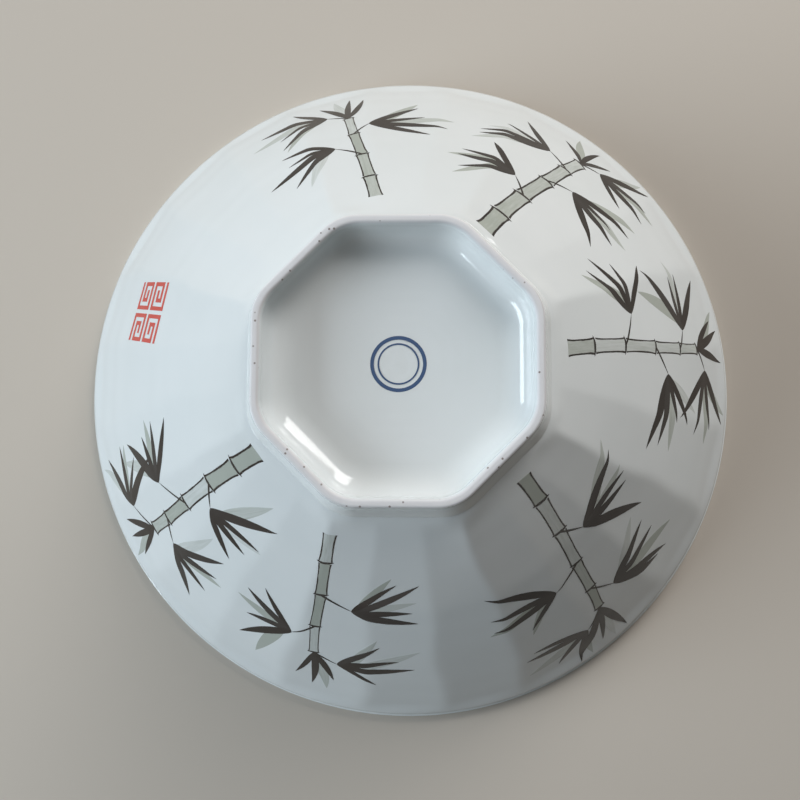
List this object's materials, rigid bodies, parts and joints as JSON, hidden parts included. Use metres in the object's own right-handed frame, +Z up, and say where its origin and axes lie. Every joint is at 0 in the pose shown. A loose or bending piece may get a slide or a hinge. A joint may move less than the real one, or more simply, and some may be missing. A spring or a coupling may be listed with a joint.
{
  "type": "ramen bowl with lid",
  "caption": "Porcelain ramen bowl turned over on its rim, eight-sided at its foot and round at its mouth, with a drop-in domed lid standing inside the mouth.",
  "frame": {"origin": "middle of the bowl's rim circle, on the surface that the rim stands on", "axes": "+Z up through the middle of the foot, out of its standing face; +X and +Y through the middles of two of the foot's sides"},
  "size_m": [0.205, 0.205, 0.075],
  "materials": {
    "bowl_glaze": "clear gloss glaze over white porcelain",
    "lid_glaze": "clear gloss glaze over white porcelain"
  },
  "bodies": {
    "lid": {"lid_dome": "lid_glaze", "lid_knob": "lid_glaze"},
    "bowl": {"bowl_shell": "bowl_glaze", "octagonal_foot": "bowl_glaze"}
  },
  "joints": [
    {"name": "bowl_lift", "type": "slide", "parent": "lid", "child": "bowl", "axis": [0, 0, 1], "range_m": [0, 0.045]}
  ]
}
